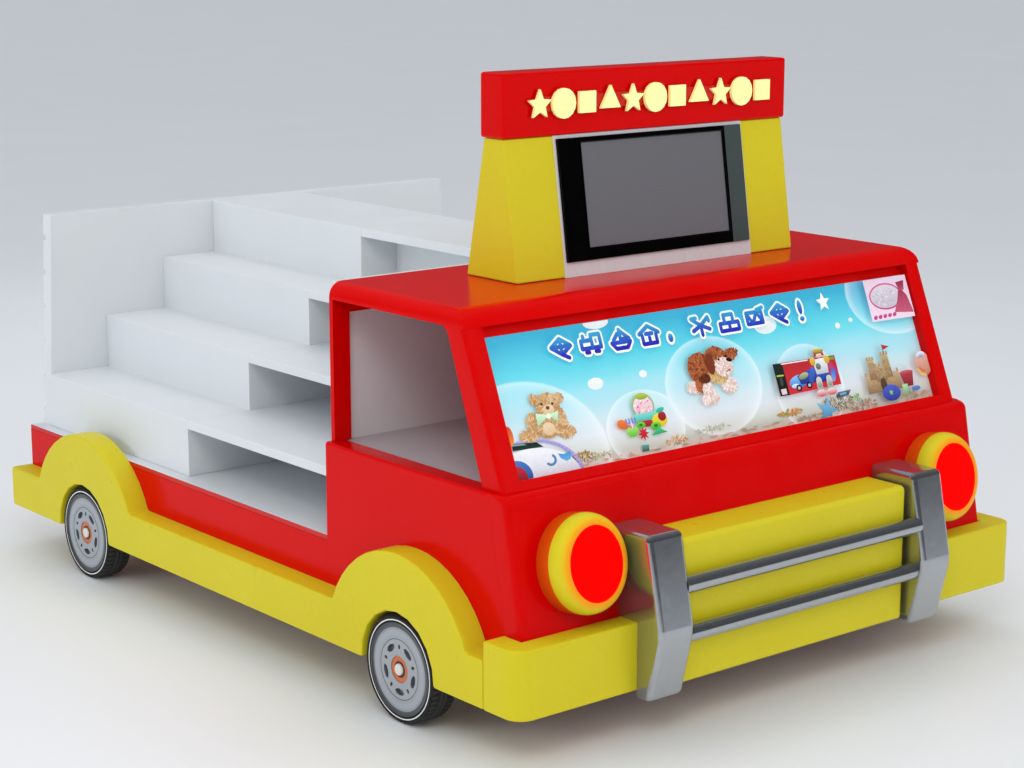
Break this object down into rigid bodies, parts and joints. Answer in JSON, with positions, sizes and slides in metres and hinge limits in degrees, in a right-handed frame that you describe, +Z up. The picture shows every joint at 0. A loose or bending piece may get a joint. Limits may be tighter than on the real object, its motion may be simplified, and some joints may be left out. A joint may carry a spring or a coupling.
{
  "type": "toy display kiosk",
  "caption": "Toy-shop display kiosk shaped like a small truck, with stepped shelving on the bed, a lit windscreen panel and a television pylon on the cab roof.",
  "frame": {"origin": "on the floor, under the middle of the kiosk's bounding box", "axes": "+X across the kiosk towards its right-hand side as seen from the front with the front facing -Y, +Y from the front bull bar to the rear, +Z up"},
  "size_m": [2.4, 3.48, 2.105],
  "materials": {
    "yellow": "yellow gel-coated fibreglass, satin gloss",
    "red": "bright red gel-coated fibreglass, gloss with a faint orange peel",
    "white": "white melamine-faced board, satin",
    "grey": "light grey melamine-faced board, satin",
    "plywood": "plain birch plywood, unpainted",
    "steel": "plain turned steel",
    "chrome": "chrome plate, polished",
    "lens": "flat red acrylic, gloss",
    "poster": "backlit printed film, sky blue fading to white",
    "black": "black moulded plastic, gloss",
    "screen": "grey display panel, switched off, semi-gloss",
    "cream": "pale cream acrylic, gloss",
    "rubber": "black rubber, worn satin",
    "wheel": "light blue-grey enamel, semi-gloss",
    "bearing": "orange enamelled bearing cap, semi-gloss"
  },
  "bodies": {
    "kiosk": {"front_bumper": "yellow", "skirt_left": "yellow", "skirt_right": "yellow", "rear_skirt": "yellow", "grille_panel": "yellow", "headlamp_ring_left": "yellow", "headlamp_ring_right": "yellow", "pylon_shell": "yellow", "bed_side_left": "red", "bed_side_right": "red", "bed_tail": "red", "cab_front": "red", "cab_side_left": "red", "cab_side_right": "red", "windscreen_pillar_left": "red", "windscreen_pillar_right": "red", "cab_roof": "red", "rear_hoop": "red", "light_box_tray": "red", "pylon_header": "red", "deck_board": "white", "stepped_case": "white", "shelf_left_1": "white", "shelf_left_2": "white", "shelf_left_3": "white", "shelf_right_1": "white", "shelf_right_2": "white", "shelf_right_3": "white", "ridge_spine": "white", "slatwall_panel": "white", "cab_back_panel": "white", "tv_trim": "white", "cab_floor": "grey", "base_girder_left": "plywood", "base_girder_right": "plywood", "axle_front": "steel", "axle_rear": "steel", "bar_post_left": "chrome", "bar_post_right": "chrome", "bar_tube_upper": "chrome", "bar_tube_lower": "chrome", "headlamp_lens_left": "lens", "headlamp_lens_right": "lens", "poster_panel": "poster", "tv_housing": "black", "power_inlet": "black", "tv_screen": "screen", "sign_row": "cream"},
    "turning_front_left": {"tyre_front_left": "rubber", "wheel_front_left": "wheel", "bearing_front_left": "bearing"},
    "turning_front_right": {"tyre_front_right": "rubber", "wheel_front_right": "wheel", "bearing_front_right": "bearing"},
    "turning_rear_left": {"tyre_rear_left": "rubber", "wheel_rear_left": "wheel", "bearing_rear_left": "bearing"},
    "turning_rear_right": {"tyre_rear_right": "rubber", "wheel_rear_right": "wheel", "bearing_rear_right": "bearing"}
  },
  "joints": [
    {"name": "front_left_roll", "type": "hinge", "parent": "kiosk", "child": "turning_front_left", "pos_m": [-1.136, -0.998, 0.1853], "axis": [1, 0, 0], "continuous": true},
    {"name": "front_right_roll", "type": "hinge", "parent": "kiosk", "child": "turning_front_right", "pos_m": [1.136, -0.998, 0.1853], "axis": [1, 0, 0], "continuous": true},
    {"name": "rear_left_roll", "type": "hinge", "parent": "kiosk", "child": "turning_rear_left", "pos_m": [-1.136, 1.125, 0.1853], "axis": [1, 0, 0], "continuous": true},
    {"name": "rear_right_roll", "type": "hinge", "parent": "kiosk", "child": "turning_rear_right", "pos_m": [1.136, 1.125, 0.1853], "axis": [1, 0, 0], "continuous": true}
  ]
}
